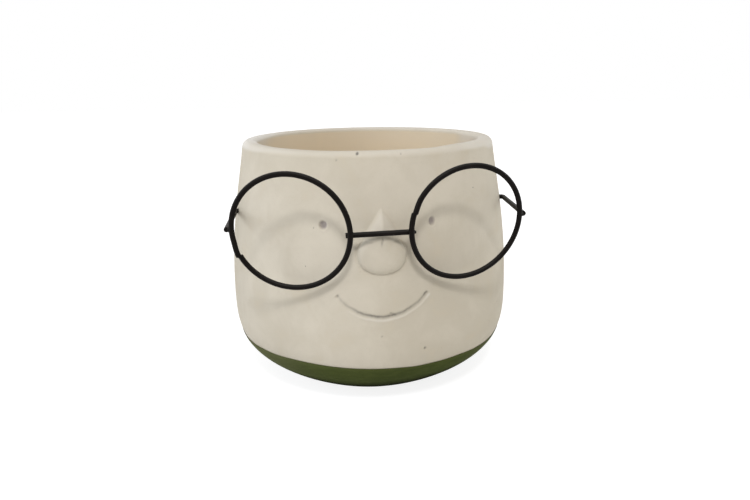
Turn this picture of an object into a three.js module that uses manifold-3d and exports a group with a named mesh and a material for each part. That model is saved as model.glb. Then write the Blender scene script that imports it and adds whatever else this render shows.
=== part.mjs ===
// Round cast-cement cachepot with a smiling face and a pair of wire spectacles that tilt on it.
// Millimetres, +Z up. The origin is the middle of the flat foot, and the face looks along -Y.
// Left and right are as seen by someone facing the pot: left is -X.
import * as THREE from 'three';
import { ConvexGeometry } from 'three/addons/geometries/ConvexGeometry.js';
import { mergeVertices } from 'three/addons/utils/BufferGeometryUtils.js';
import Module from 'manifold-3d';

// Pot, outside: a foot, a heel that sweeps up to the belly, and a chest that draws in to the rim
const potHeight = 116;
const footRadius = 43;
const heelAngle = 28.7; // degrees off the floor where the heel leaves the foot
const heelReach = 28; // pull of the curve along that slope
const heelTurn = 18.7; // pull of the curve below the belly
const bellyRadius = 70;
const bellyHeight = 38.8;
const chestReach = 35; // pull of the curve above the belly
const rimReach = 16; // pull of the curve below the rim
const rimAngle = 8; // degrees the wall leans in at the rim
const rimRadius = 61.6;
const rimRound = 3.5;

// Pot, inside: left by a tapered core, so that it draws out upwards
const mouthRadius = 54;
const mouthRound = 2.5;
const cavityFootRadius = 49.5;
const cavityRound = 14;
const floorThickness = 10;

// Paint that the base was dipped in
const coatLine = 23; // height of its upper edge
const coatHem = 1.2; // height of its lower edge, clear of the ground
const coatFilm = 0.25;
const coatGap = 0.1;

// Nose: a sharp-edged bridge that fades out upwards and runs down into a ball
const ballHeight = 74.1;
const ballWidth = 20.2;
const ballTall = 16.4;
const ballRise = 4.2;
const barLift = 9.9; // bridge wire above the middle of the ball
const browLift = 9; // top of the bridge above the wire
const tailLift = 2; // where its edge sinks into the ball, above the ball's middle
const noseHalfWidth = 5.8; // at the wire
const noseRise = 4.6; // how far the bridge stands off the wall where the wire rests
const noseRoot = 3; // how far the bridge reaches into the wall

// Mouth: a groove along an arc, wrapped round the wall
const mouthLow = 47.05;
const mouthHalfWidth = 19.3;
const mouthLift = 9.1;
const grooveRadius = 0.6;

// Pupils: two dimples punched by hand
const dimpleRadius = 1.6;
const dimpleDepth = 0.9;
const leftPupilLift = 1.7; // above the bridge wire
const rightPupilLift = 1.9;
const leftPupilAngle = -21; // degrees round the wall
const rightPupilAngle = 19;

// Spectacles: one gauge of wire
const wireDiameter = 2.2;
const weldGap = 0.35;
const seatGap = 0.3; // between the bridge wire and the nose it rests on
const rollAngle = 1.3; // degrees the pair sits out of level, right side up
const frontShift = 1.3; // how far rings and bridge sit to the left of the hinge's middle
const hingeAngle = 73.5; // degrees round the wall from the middle of the face
const hingeLift = 1.4; // hinge line above the bridge wire
const barHalfSpan = 12.2; // from the middle to where a ring crosses the bar
const barOverhang = 1.6;
const ringRadius = 24.1; // middle of the wire
const ringLift = 1.5; // ring's middle above the bridge wire
const wrapAngle = 12.5; // degrees each ring turns outwards
const tiltAngle = 8.4; // degrees each ring looks downwards
const seamStep = 1.4; // how far a ring's ends miss each other, front to back
const joggleAngle = 16; // degrees over which one end steps forward
const leftSeamAngle = 204; // degrees round the ring, 0 at the viewer's right
const rightSeamAngle = 164;
const templeAngle = 3; // degrees above the ring's middle where the temple is welded
const leanAngle = 25; // degrees behind the ring's plane where the temple is welded
const templeTip = 0.6; // stub past the weld
const templeStandOff = 1.7; // middle of the wire off the wall at the hinge
const templeBend = 1.9; // length of each leg of the bend
const pinDepth = 7;
const pinClearance = 0.3;
const holeSpare = 1.5; // hole left empty past the end of the pin
const holeEntry = 6; // how far the drill starts outside the wall

// Facets
const aroundPot = 64;
const coatSteps = 8;
const bellySteps = 4;
const chestSteps = 8;
const rimSteps = 4;
const lipSteps = 3;
const coveSteps = 5; // inside, where the wall meets the floor
const ballAround = 24;
const ballDown = 16;
const punchAround = 20;
const punchDown = 14;
const grooveSteps = 28;
const drillSides = 16;
const wireSides = 5; // half the sides of the wire's section
const ringSteps = 64;
const templeSteps = 56;
const searchSteps = 40;
const mergeDistance = 1e-4;

const radians = THREE.MathUtils.degToRad;
const wireRadius = wireDiameter / 2;
const wirePitch = wireDiameter + weldGap; // between the middles of two welded wires
const barHeight = ballHeight + barLift;
const hingeHeight = barHeight + hingeLift;

const cement = new THREE.MeshStandardMaterial({ color: 0xd3c9b6, roughness: 0.9, metalness: 0 });
const greenPaint = new THREE.MeshStandardMaterial({ color: 0x586a33, roughness: 0.55, metalness: 0 });
const blackWire = new THREE.MeshStandardMaterial({ color: 0x161616, roughness: 0.45, metalness: 0.3 });

// Outline of the pot: radius across, height up
const foot = new THREE.Vector2(footRadius, 0);
const belly = new THREE.Vector2(bellyRadius, bellyHeight);
const rim = new THREE.Vector2(rimRadius, potHeight - rimRound);
const heelPull = new THREE.Vector2(Math.cos(radians(heelAngle)), Math.sin(radians(heelAngle)));
const rimPull = new THREE.Vector2(Math.sin(radians(rimAngle)), -Math.cos(radians(rimAngle)));
const heelCurve = new THREE.CubicBezierCurve(
  foot,
  foot.clone().addScaledVector(heelPull, heelReach),
  new THREE.Vector2(bellyRadius, bellyHeight - heelTurn),
  belly,
);
const chestCurve = new THREE.CubicBezierCurve(
  belly,
  new THREE.Vector2(bellyRadius, bellyHeight + chestReach),
  rim.clone().addScaledVector(rimPull, rimReach),
  rim,
);

// Where a rising curve reaches a height, as the curve's own parameter
function parameterAt(curve, height) {
  let low = 0;
  let high = 1;
  for (let step = 0; step < searchSteps; step += 1) {
    const middle = (low + high) / 2;
    if (curve.getPoint(middle).y < height) {
      low = middle;
    } else {
      high = middle;
    }
  }
  return low;
}

function wallRadius(height) {
  const curve = height < bellyHeight ? heelCurve : chestCurve;
  return curve.getPoint(parameterAt(curve, height)).x;
}

function onWall(azimuth, height, standOff = 0) {
  const radius = wallRadius(height) + standOff;
  return new THREE.Vector3(radius * Math.sin(azimuth), -radius * Math.cos(azimuth), height);
}

// Stations up the heel, shared by the casting and its paint so that their facets run together
const coatFrom = parameterAt(heelCurve, coatHem);
const coatTo = parameterAt(heelCurve, coatLine);
const coatStations = spread(coatFrom, coatTo, coatSteps);
const heelStations = [0, ...coatStations, ...spread(coatTo, 1, bellySteps).slice(1)];

function spread(from, to, steps) {
  return Array.from({ length: steps + 1 }, (_, step) => from + (to - from) * step / steps);
}

function arcPoints(x, y, radius, from, to, steps) {
  const arc = new THREE.EllipseCurve(x, y, radius, radius, radians(from), radians(to), to < from);
  return arc.getPoints(steps);
}

// Turns a profile about the Z axis
function revolve(profile) {
  return new THREE.LatheGeometry(profile, aroundPot).rotateX(Math.PI / 2);
}

// Solids for joining and cutting
const wasm = await Module();
wasm.setup();

function toSolid(geometry) {
  const bare = geometry.clone();
  bare.deleteAttribute('normal');
  bare.deleteAttribute('uv');
  const merged = mergeVertices(bare, mergeDistance);
  const corners = [];
  for (let first = 0; first < merged.index.count; first += 3) {
    const triangle = [0, 1, 2].map((corner) => merged.index.getX(first + corner));
    if (new Set(triangle).size === 3) {
      corners.push(...triangle);
    }
  }
  const mesh = new wasm.Mesh({
    numProp: 3,
    vertProperties: merged.attributes.position.array,
    triVerts: Uint32Array.from(corners),
  });
  return new wasm.Manifold(mesh);
}

function toGeometry(solid) {
  const { vertProperties, triVerts } = solid.getMesh();
  const geometry = new THREE.BufferGeometry();
  geometry.setAttribute('position', new THREE.BufferAttribute(vertProperties, 3));
  geometry.setIndex(new THREE.BufferAttribute(triVerts, 1));
  geometry.computeVertexNormals();
  return geometry;
}

// Wire along a curve, square-ended
function wireAlong(curve, steps, radius = wireRadius) {
  const section = new THREE.Shape().absarc(0, 0, radius, 0, 2 * Math.PI);
  return new THREE.ExtrudeGeometry(section, { steps, extrudePath: curve, curveSegments: wireSides });
}

// Bare casting: outline up, over the rim, down the tapered core and across the floor
function castingBlank() {
  const drop = potHeight - mouthRound - floorThickness;
  const draft = Math.atan2(mouthRadius - cavityFootRadius, drop); // taper of the core
  const cornerX = cavityFootRadius + cavityRound * Math.tan(draft) - cavityRound / Math.cos(draft);
  const draftDegrees = THREE.MathUtils.radToDeg(draft);
  return revolve([
    new THREE.Vector2(0, 0),
    ...heelStations.map((t) => heelCurve.getPoint(t)),
    ...chestCurve.getPoints(chestSteps).slice(1),
    ...arcPoints(rimRadius - rimRound, potHeight - rimRound, rimRound, 0, 90, rimSteps).slice(1),
    ...arcPoints(mouthRadius + mouthRound, potHeight - mouthRound, mouthRound, 90, 180, lipSteps),
    ...arcPoints(cornerX, floorThickness + cavityRound, cavityRound, -draftDegrees, -90, coveSteps),
    new THREE.Vector2(0, floorThickness),
  ]);
}

// Bridge of the nose: its front edge meets the seat of the wire
const noseEdge = wallRadius(barHeight) + noseRise; // front edge, from the pot's axis
function noseBridge() {
  const noseTop = barHeight + browLift;
  const noseTail = ballHeight + tailLift;
  const tailTurn = Math.asin(tailLift / (ballTall / 2));
  const tail = wallRadius(ballHeight) + ballRise * Math.cos(tailTurn);
  const cheek = Math.asin(noseHalfWidth / wallRadius(barHeight));
  const onEdge = [new THREE.Vector3(0, -noseEdge, barHeight), new THREE.Vector3(0, -tail, noseTail)];
  const seated = [0, -noseRoot].flatMap((standOff) => [
    onWall(0, noseTop, standOff),
    onWall(cheek, barHeight, standOff),
    onWall(-cheek, barHeight, standOff),
    onWall(0, noseTail, standOff),
  ]);
  return new ConvexGeometry([...onEdge, ...seated]);
}

function noseBall() {
  const ball = new THREE.SphereGeometry(1, ballAround, ballDown);
  ball.scale(ballWidth / 2, ballRise, ballTall / 2);
  return ball.translate(0, -wallRadius(ballHeight), ballHeight);
}

class MouthCurve extends THREE.Curve {
  getPoint(t, target = new THREE.Vector3()) {
    const arcRadius = (mouthHalfWidth ** 2 + mouthLift ** 2) / (2 * mouthLift);
    const turn = Math.asin(mouthHalfWidth / arcRadius) * (2 * t - 1);
    const height = mouthLow + arcRadius * (1 - Math.cos(turn));
    const azimuth = arcRadius * Math.sin(turn) / wallRadius(height);
    return target.copy(onWall(azimuth, height));
  }
}

function pupilPunch(angle, lift) {
  const punchRadius = (dimpleRadius ** 2 + dimpleDepth ** 2) / (2 * dimpleDepth);
  const middle = onWall(radians(angle), barHeight + lift, punchRadius - dimpleDepth);
  const punch = new THREE.SphereGeometry(punchRadius, punchAround, punchDown);
  return punch.translate(middle.x, middle.y, middle.z);
}

// The spectacles' own frame: X is the hinge line, and its origin is halfway between the holes
const hingeX = wallRadius(hingeHeight) * Math.sin(radians(hingeAngle));
const spectacles = new THREE.Group();
spectacles.position.copy(onWall(radians(hingeAngle), hingeHeight).setX(0));
spectacles.rotation.y = -radians(rollAngle);
spectacles.updateMatrixWorld();

function hingeHole(side) {
  const holeRadius = wireRadius + pinClearance;
  const length = holeEntry + pinDepth + holeSpare;
  const drill = new THREE.CylinderGeometry(holeRadius, holeRadius, length, drillSides);
  drill.rotateZ(Math.PI / 2).translate(side * (hingeX + holeEntry - length / 2), 0, 0);
  return drill.applyMatrix4(spectacles.matrixWorld);
}

function potBody() {
  let solid = toSolid(castingBlank());
  for (const added of [noseBridge(), noseBall()]) {
    solid = solid.add(toSolid(added));
  }
  const groove = wireAlong(new MouthCurve(), grooveSteps, grooveRadius);
  const leftPupil = pupilPunch(leftPupilAngle, leftPupilLift);
  const rightPupil = pupilPunch(rightPupilAngle, rightPupilLift);
  for (const cut of [groove, leftPupil, rightPupil, hingeHole(-1), hingeHole(1)]) {
    solid = solid.subtract(toSolid(cut));
  }
  return toGeometry(solid);
}

// Paint film: follows the heel from its hem to its line, a little off the cement
function baseCoat() {
  const offWall = (t, distance) => {
    const along = heelCurve.getTangent(t);
    return heelCurve.getPoint(t).addScaledVector(new THREE.Vector2(along.y, -along.x), distance);
  };
  const inside = coatStations.map((t) => offWall(t, coatGap));
  const outside = coatStations.map((t) => offWall(t, coatGap + coatFilm));
  return revolve([...outside, ...inside.reverse(), outside[0]]);
}

// Ring: one turn of wire, closed end to end, with one end a little forward of the other
class RingCurve extends THREE.Curve {
  constructor(seam) {
    super();
    this.seam = seam;
  }

  getPoint(t, target = new THREE.Vector3()) {
    const gap = THREE.MathUtils.radToDeg(weldGap / ringRadius);
    const sweep = 360 - gap;
    const turned = sweep * t;
    const angle = radians(this.seam + turned + gap / 2);
    const step = seamStep * THREE.MathUtils.smoothstep(turned, sweep - joggleAngle, sweep);
    return target.set(ringRadius * Math.cos(angle), ringRadius * Math.sin(angle), step);
  }
}

// Bridge wire, in the spectacles' frame: it rests against the front edge of the nose
const hingeY = spectacles.position.y;
const barY = -(noseEdge + seatGap + wireRadius) - hingeY;

// Turn and place of a ring: square on, tilted down, then wrapped outwards
function placeRing(mesh, side) {
  mesh.rotation.set(Math.PI / 2 + radians(tiltAngle), 0, side * radians(wrapAngle), 'ZYX');
  const facing = new THREE.Vector3(0, 0, 1).applyEuler(mesh.rotation);
  const beside = side * ringRadius * Math.cos(radians(wrapAngle)); // from the weld on the bar
  const ahead = (wirePitch - facing.x * beside - facing.z * ringLift) / facing.y;
  mesh.position.set(side * barHalfSpan + beside - frontShift, barY + ahead, ringLift - hingeLift);
  mesh.updateMatrix();
}

// Temple: a pin in the hole, a bend just off the wall, and a straight run to the back of the ring
function templePath(ring, side) {
  const weldTurn = side > 0 ? radians(templeAngle) : Math.PI - radians(templeAngle);
  const weldRadius = ringRadius + wirePitch * Math.cos(radians(leanAngle));
  const weldDepth = -wirePitch * Math.sin(radians(leanAngle));
  const weld = new THREE.Vector3(Math.cos(weldTurn), Math.sin(weldTurn), 0).multiplyScalar(weldRadius);
  weld.setZ(weldDepth).applyMatrix4(ring.matrix);
  const corner = new THREE.Vector3(side * (hingeX + templeStandOff), 0, 0);
  const run = weld.clone().sub(corner).normalize();
  const pinEnd = new THREE.Vector3(side * (hingeX - pinDepth), 0, 0);
  const bendStart = corner.clone().setX(corner.x - side * templeBend);
  const bendEnd = corner.clone().addScaledVector(run, templeBend);
  const path = new THREE.CurvePath();
  path.add(new THREE.LineCurve3(pinEnd, bendStart));
  path.add(new THREE.QuadraticBezierCurve3(bendStart, corner, bendEnd));
  path.add(new THREE.LineCurve3(bendEnd, weld.addScaledVector(run, templeTip)));
  return path;
}

function addPiece(group, name, geometry, material) {
  const mesh = new THREE.Mesh(geometry, material);
  mesh.name = name;
  group.add(mesh);
  return mesh;
}

const cachepot = new THREE.Group();
cachepot.name = 'cachepot';
addPiece(cachepot, 'pot_body', potBody(), cement);
addPiece(cachepot, 'green_base_coat', baseCoat(), greenPaint);
cachepot.add(spectacles);

const barLength = 2 * (barHalfSpan + barOverhang);
const barBlank = new THREE.CylinderGeometry(wireRadius, wireRadius, barLength, 2 * wireSides);
const bar = addPiece(spectacles, 'bridge_bar', barBlank.rotateZ(Math.PI / 2), blackWire);
bar.position.set(-frontShift, barY, -hingeLift);

for (const [sideName, side, seam] of [['left', -1, leftSeamAngle], ['right', 1, rightSeamAngle]]) {
  const loop = wireAlong(new RingCurve(seam), ringSteps);
  const ring = addPiece(spectacles, `${sideName}_ring`, loop, blackWire);
  placeRing(ring, side);
  const temple = wireAlong(templePath(ring, side), templeSteps);
  addPiece(spectacles, `${sideName}_temple`, temple, blackWire);
}

export default cachepot;
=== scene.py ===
import math

import bpy
import numpy as np
from mathutils import Matrix, Vector


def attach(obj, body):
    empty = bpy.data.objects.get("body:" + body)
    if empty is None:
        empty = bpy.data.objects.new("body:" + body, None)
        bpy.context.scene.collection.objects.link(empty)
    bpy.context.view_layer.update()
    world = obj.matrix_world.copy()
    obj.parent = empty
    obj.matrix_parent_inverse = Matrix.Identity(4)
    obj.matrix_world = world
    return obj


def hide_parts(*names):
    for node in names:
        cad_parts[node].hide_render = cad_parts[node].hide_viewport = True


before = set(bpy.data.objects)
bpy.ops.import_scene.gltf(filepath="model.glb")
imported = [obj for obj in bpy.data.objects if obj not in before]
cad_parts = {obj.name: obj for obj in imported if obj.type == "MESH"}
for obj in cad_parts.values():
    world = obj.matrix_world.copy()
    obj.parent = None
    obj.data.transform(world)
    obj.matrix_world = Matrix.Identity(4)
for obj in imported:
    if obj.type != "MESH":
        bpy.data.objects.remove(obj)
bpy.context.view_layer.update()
mm = 0.001
print("frame loaded:", sorted(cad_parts))


# Sums on sockets, and one way to make any node
class Term:
    def __init__(self, tree, socket=None):
        self.tree = tree
        self.socket = socket

    def node(self, kind, sockets=None, out=None, **settings):
        made = self.tree.nodes.new(kind)
        for key, value in settings.items():
            setattr(made, key, value)
        inputs = {socket.identifier: socket for socket in made.inputs}
        for key, value in (sockets or {}).items():
            if isinstance(value, Term):
                self.tree.links.new(value.socket, inputs[key])
            else:
                inputs[key].default_value = value
        outputs = {socket.identifier: socket for socket in made.outputs}
        if not outputs:
            return Term(self.tree)
        return Term(self.tree, outputs[out] if out else made.outputs[0])

    def sum(self, operation, other):
        return self.node("ShaderNodeMath", {"Value": self, "Value_001": other}, operation=operation)

    def __add__(self, other):
        return self.sum("ADD", other)

    def __sub__(self, other):
        return self.sum("SUBTRACT", other)

    def __mul__(self, other):
        return self.sum("MULTIPLY", other)

    def __gt__(self, other):
        return self.sum("GREATER_THAN", other)

    __radd__ = __add__


def newMaterial(name):
    material = bpy.data.materials.new(name)
    material.use_nodes = True
    material.node_tree.nodes.clear()
    return material, Term(material.node_tree)


def noise(tree, place, scale, detail, rough, distortion=0.0):
    values = {"Vector": place, "Scale": scale, "Detail": detail, "Roughness": rough, "Distortion": distortion}
    return tree.node("ShaderNodeTexNoise", values, "Fac")


def between(tree, value, low, high):  # 0 below low, 1 above high, smooth between
    values = {"Value": value, "From Min": low, "From Max": high}
    return tree.node("ShaderNodeMapRange", values, "Result", interpolation_type="SMOOTHSTEP")


def tint(tree, amount, under, over):
    values = {"Factor_Float": amount, "A_Color": under, "B_Color": over}
    return tree.node("ShaderNodeMix", values, "Result_Color", data_type="RGBA")


def stored(tree, name):  # a number that the mesh keeps at each point
    return tree.node("ShaderNodeAttribute", {}, "Fac", attribute_name=name)


def patchy(tree, name, uneven, plan):  # the same, made uneven
    least, added = plan["patches"][name]
    return stored(tree, name) * (least + uneven * added)


def flecks(tree, colour, name, amount, plan):  # some of another colour, where the amount is high
    low, high, share = plan["flecks"][name]
    return tint(tree, between(tree, amount, low, high) * share, colour, plan[name])


def paintOn(tree, surface):
    tree.node("ShaderNodeOutputMaterial", {"Surface": surface})


def coat(tree, colour, rough, height, plan):  # colour, sheen and a fine relief
    relief = {"Strength": plan["relief"], "Distance": plan["depth"] * mm, "Height": height}
    normal = tree.node("ShaderNodeBump", relief)
    look = {"Base Color": colour, "Roughness": rough, "Normal": normal, "Specular IOR Level": plan["shine"]}
    paintOn(tree, tree.node("ShaderNodeBsdfPrincipled", look))


# Cement: pale, chalky, a little cloudy, with fine sand and pores
cementFinish = dict(
    pale=(0.640, 0.584, 0.484, 1),
    dull=(0.560, 0.507, 0.410, 1),
    warm=(0.640, 0.555, 0.420, 1),
    sand=(0.420, 0.370, 0.290, 1),
    pore=(0.085, 0.072, 0.058, 1),
    # grey for the mouth line and the pinholes, and painted shade and painted shadow round the nose
    greyAndShade=(0.212, 0.198, 0.172, 1),
    blot=(0.300, 0.262, 0.258, 1),
    inner=(0.760, 0.648, 0.480, 1),
    # painted highlight on the rim, the nose bridge and the lower lip
    wearAndHighlight=(0.770, 0.745, 0.700, 1),
    patches=dict(inner=(0.65, 0.4), wearAndHighlight=(0.3, 0.6), greyAndShade=(0.75, 0.5), blot=(0.45, 0.6)),
    noises=[(17, 2, 0.5), (75, 5, 0.62, 0.4), (620, 3, 0.6), (2100, 2, 0.6)],  # broad, cloud, fine, grain
    dullRange=(0.36, 0.64), flecks=dict(warm=(0.5, 0.78, 0.35), sand=(0.60, 0.78, 0.30)),
    poreCells=190, poreChance=0.940, poreLeast=0.03, poreSpread=0.04,
    poreRagged=0.05, poreEdge=(-0.012, 0.025), poreShare=0.6,
    relief=0.55, depth=0.25, shine=0.25,
)


def cementMaterial(plan):
    material, tree = newMaterial("cast_cement")
    place = tree.node("ShaderNodeTexCoord", {}, "Object")
    broad, cloud, fine, grain = [noise(tree, place, *values) for values in plan["noises"]]
    cells = {"Vector": place, "Scale": plan["poreCells"], "Randomness": 1.0}
    far = tree.node("ShaderNodeTexVoronoi", cells, "Distance")
    pick = tree.node("ShaderNodeTexVoronoi", cells, "Color")
    chance = tree.node("ShaderNodeSeparateColor", {"Color": pick}, "Red")
    reach = tree.node("ShaderNodeSeparateColor", {"Color": pick}, "Green")
    ragged = far + (fine - 0.5) * plan["poreRagged"]
    inside = (reach * plan["poreSpread"] + plan["poreLeast"]) - ragged
    pore = between(tree, inside, *plan["poreEdge"]) * (chance > plan["poreChance"])
    dulled = between(tree, broad * 0.6 + cloud * 0.4, *plan["dullRange"])
    colour = tint(tree, dulled, plan["pale"], plan["dull"])
    colour = flecks(tree, colour, "warm", cloud, plan)
    colour = flecks(tree, colour, "sand", grain, plan)
    # the warm inside, the painted highlight, the grey and painted shade, and the pupils
    for name, uneven in (("inner", cloud), ("wearAndHighlight", cloud), ("greyAndShade", fine), ("blot", fine)):
        colour = tint(tree, patchy(tree, name, uneven, plan), colour, plan[name])
    colour = tint(tree, pore * plan["poreShare"], colour, plan["pore"])
    height = cloud * 0.5 + fine * 0.22 + grain * 0.1 - pore * 1.6
    coat(tree, colour, 0.82 + fine * 0.14 - pore * 0.05, height, plan)
    return material


# Paint on the base: olive, satin, dipped, thin in places, with painted sheen on the sides and painted shade
# towards the bottom
paintFinish = dict(
    green=(0.072, 0.088, 0.026, 1),
    deep=(0.052, 0.066, 0.019, 1),
    thin=(0.092, 0.100, 0.036, 1),
    # painted shade towards the bottom of the base
    dark=(0.013, 0.016, 0.006, 1),
    dust=(0.180, 0.180, 0.110, 1),
    # painted sheen on the left and right sides
    sideSheen=(0.122, 0.128, 0.060, 1),
    broad=(26, 3, 0.55), drawn=(130, 4, 0.6, 0.6), fine=(700, 3, 0.6), grain=(2400, 2, 0.5),
    squash=(1, 1, 4),  # the drawn streaks lie level
    patches=dict(hem=(0.2, 0.6), sideSheen=(0.75, 0.5), soleShade=(0.65, 0.6)),
    deepRange=(0.36, 0.66), flecks=dict(thin=(0.58, 0.8, 0.4), dust=(0.68, 0.82, 0.10)),
    relief=0.4, depth=0.15, shine=0.012,
)


def paintMaterial(plan):
    material, tree = newMaterial("olive_dip_paint")
    place = tree.node("ShaderNodeTexCoord", {}, "Object")
    flat = tree.node("ShaderNodeMapping", {"Vector": place, "Scale": plan["squash"]}, "Vector")
    drawn = noise(tree, flat, *plan["drawn"])
    broad, fine, grain = [noise(tree, place, *plan[name]) for name in ("broad", "fine", "grain")]
    deepened = between(tree, broad * 0.5 + drawn * 0.5, *plan["deepRange"])
    colour = tint(tree, deepened, plan["green"], plan["deep"])
    colour = flecks(tree, colour, "thin", drawn, plan)
    # thin paint at the top edge, painted sheen on the sides, painted shade at the bottom
    for name, over in (("hem", "thin"), ("sideSheen", "sideSheen"), ("soleShade", "dark")):
        colour = tint(tree, patchy(tree, name, drawn, plan), colour, plan[over])
    colour = flecks(tree, colour, "dust", grain, plan)
    height = drawn * 0.5 + fine * 0.25 + grain * 0.06
    coat(tree, colour, 0.58 + drawn * 0.16 + fine * 0.10 + stored(tree, "soleShade") * 0.3, height, plan)
    return material


# Coating on the wire: satin black with a fine orange peel and a painted highlight on top
coatingFinish = dict(
    black=(0.0052, 0.0038, 0.0031, 1),
    worn=(0.0115, 0.0087, 0.0071, 1),
    # painted highlight on the upper side of the wire
    topHighlight=(0.026, 0.0235, 0.0215, 1),
    peel=(1500, 2, 0.5), wearAndHighlight=(190, 4, 0.6, 0.3),
    flecks=dict(worn=(0.5, 0.74, 0.6)), topHighlightRange=(0.15, 0.95),
    relief=0.35, depth=0.06, shine=0.06,
)


def coatingMaterial(plan):
    material, tree = newMaterial("satin_black_coating")
    place = tree.node("ShaderNodeTexCoord", {}, "Object")
    facing = tree.node("ShaderNodeTexCoord", {}, "Normal")
    upward = tree.node("ShaderNodeSeparateXYZ", {"Vector": facing}, "Z")
    peel, wearAndHighlight = [noise(tree, place, *plan[name]) for name in ("peel", "wearAndHighlight")]
    colour = flecks(tree, plan["black"], "worn", wearAndHighlight, plan)
    # lighter where the wire faces up: a painted highlight
    colour = tint(tree, between(tree, upward, *plan["topHighlightRange"]) * (0.6 + wearAndHighlight * 0.6), colour, plan["topHighlight"])
    coat(tree, colour, 0.36 + wearAndHighlight * 0.16 + peel * 0.06, peel + wearAndHighlight * 0.6, plan)
    return material


cement = cementMaterial(cementFinish)
olivePaint = paintMaterial(paintFinish)
blackCoating = coatingMaterial(coatingFinish)
print("finishes made")


# Geometry Nodes: a tree with named inputs, run on a piece and turned into a plain mesh
def newTree(name, inputs):
    tree = bpy.data.node_groups.new(name, "GeometryNodeTree")
    tree.interface.new_socket("Geometry", in_out="INPUT", socket_type="NodeSocketGeometry")
    tree.interface.new_socket("Geometry", in_out="OUTPUT", socket_type="NodeSocketGeometry")
    for label, kind in inputs.items():
        tree.interface.new_socket(label, in_out="INPUT", socket_type="NodeSocket" + kind)
    start = tree.nodes.new("NodeGroupInput")
    given = {socket.name: Term(tree, socket) for socket in start.outputs if socket.name}
    return tree, Term(tree), given


def storedField(tree, name):
    return tree.node("GeometryNodeInputNamedAttribute", {"Name": name}, "Attribute", data_type="FLOAT")


def pushOut(tree, mesh, amount, chosen=True):  # moves points along their normals
    normal = tree.node("GeometryNodeInputNormal", {}, "Normal")
    move = tree.node("ShaderNodeVectorMath", {"Vector": normal, "Scale": amount}, "Vector", operation="SCALE")
    return tree.node("GeometryNodeSetPosition", {"Geometry": mesh, "Selection": chosen, "Offset": move})


def closeTree(tree, mesh, material):
    whole = tree.node("GeometryNodeRealizeInstances", {"Geometry": mesh})
    coloured = tree.node("GeometryNodeSetMaterial", {"Geometry": whole, "Material": material})
    end = tree.tree.nodes.new("NodeGroupOutput")
    tree.tree.links.new(coloured.socket, end.inputs["Geometry"])


def runTree(piece, tree, values):
    modifier = piece.modifiers.new(tree.name, "NODES")
    modifier.node_group = tree
    for item in tree.interface.items_tree:
        if item.in_out == "INPUT" and item.name in values:
            modifier[item.identifier] = values[item.name]


def settle(piece, sharp):  # the evaluated result becomes the piece's own plain mesh
    bpy.context.view_layer.update()
    solid = piece.evaluated_get(bpy.context.evaluated_depsgraph_get())
    mesh = bpy.data.meshes.new_from_object(solid)
    piece.modifiers.clear()
    piece.data = mesh
    shadeSmooth(mesh, sharp)


def shadeSmooth(mesh, sharp):  # smooth, apart from edges sharper than so many degrees
    mesh.shade_smooth()
    mesh.set_sharp_from_angle(angle=math.radians(sharp))


def newPiece(name, points, edges=(), faces=()):
    mesh = bpy.data.meshes.new(name)
    mesh.from_pydata(points, edges, faces)
    piece = bpy.data.objects.new(name, mesh)
    bpy.context.scene.collection.objects.link(piece)
    return piece


def store(mesh, name, numbers):  # one number at each point
    made = mesh.attributes.new(name, "FLOAT", "POINT")
    made.data.foreach_set("value", np.asarray(numbers, np.float32))


def bands(rows, around, start=0, closed=False):  # four-sided faces between rings of points
    faces = []
    for row in range(rows if closed else rows - 1):
        low, high = start + row * around, start + (row + 1) % rows * around
        faces += [(low + k, low + (k + 1) % around, high + (k + 1) % around, high + k) for k in range(around)]
    return faces


# Curves: soft steps, humps, wavering lines and turned profiles
def soft(value, low, high):  # as between does, for numbers
    t = np.clip((value - low) / (high - low), 0, 1)
    return t * t * (3 - 2 * t)


def hump(value, middle, width, sharp=1.0):  # 1 in the middle, less on both sides
    return np.exp(-((value - middle) / width) ** 2 * sharp)


def waver(value, strength, seed, count, step):  # a smooth random line of so many waves
    generator = np.random.default_rng(seed)
    total = np.zeros_like(value, float)
    for k in range(1, count + 1):
        total += np.sin(value * step * k * 1.7 + generator.uniform(0, 6.28)) / k
    return strength * (total / 1.9)


def bezier(points, steps):
    t = np.linspace(0, 1, steps)[:, None]
    a, b, c, d = [np.array(p, float) for p in points]
    return a * (1 - t) ** 3 + 3 * b * t * (1 - t) ** 2 + 3 * c * t * t * (1 - t) + d * t ** 3


def arc(x, z, radius, turn):
    return np.column_stack([x + radius * np.cos(turn), z + radius * np.sin(turn)])


def spaced(runs):  # heights in runs, each up to a height in so many steps
    rows = [np.array([runs[0][0]], float)]
    for end, count in runs[1:]:
        rows.append(np.linspace(rows[-1][-1], end, count)[1:])
    return np.concatenate(rows)


def outward(line):  # unit normals of a profile
    along = np.gradient(line, axis=0)
    normal = np.column_stack([along[:, 1], -along[:, 0]])
    return normal / np.linalg.norm(normal, axis=1)[:, None]


def turned(radius, turn, height):  # 0 is the front, and the turn goes to the right
    return np.stack([radius * np.sin(turn), -radius * np.cos(turn), height], -1)


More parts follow.
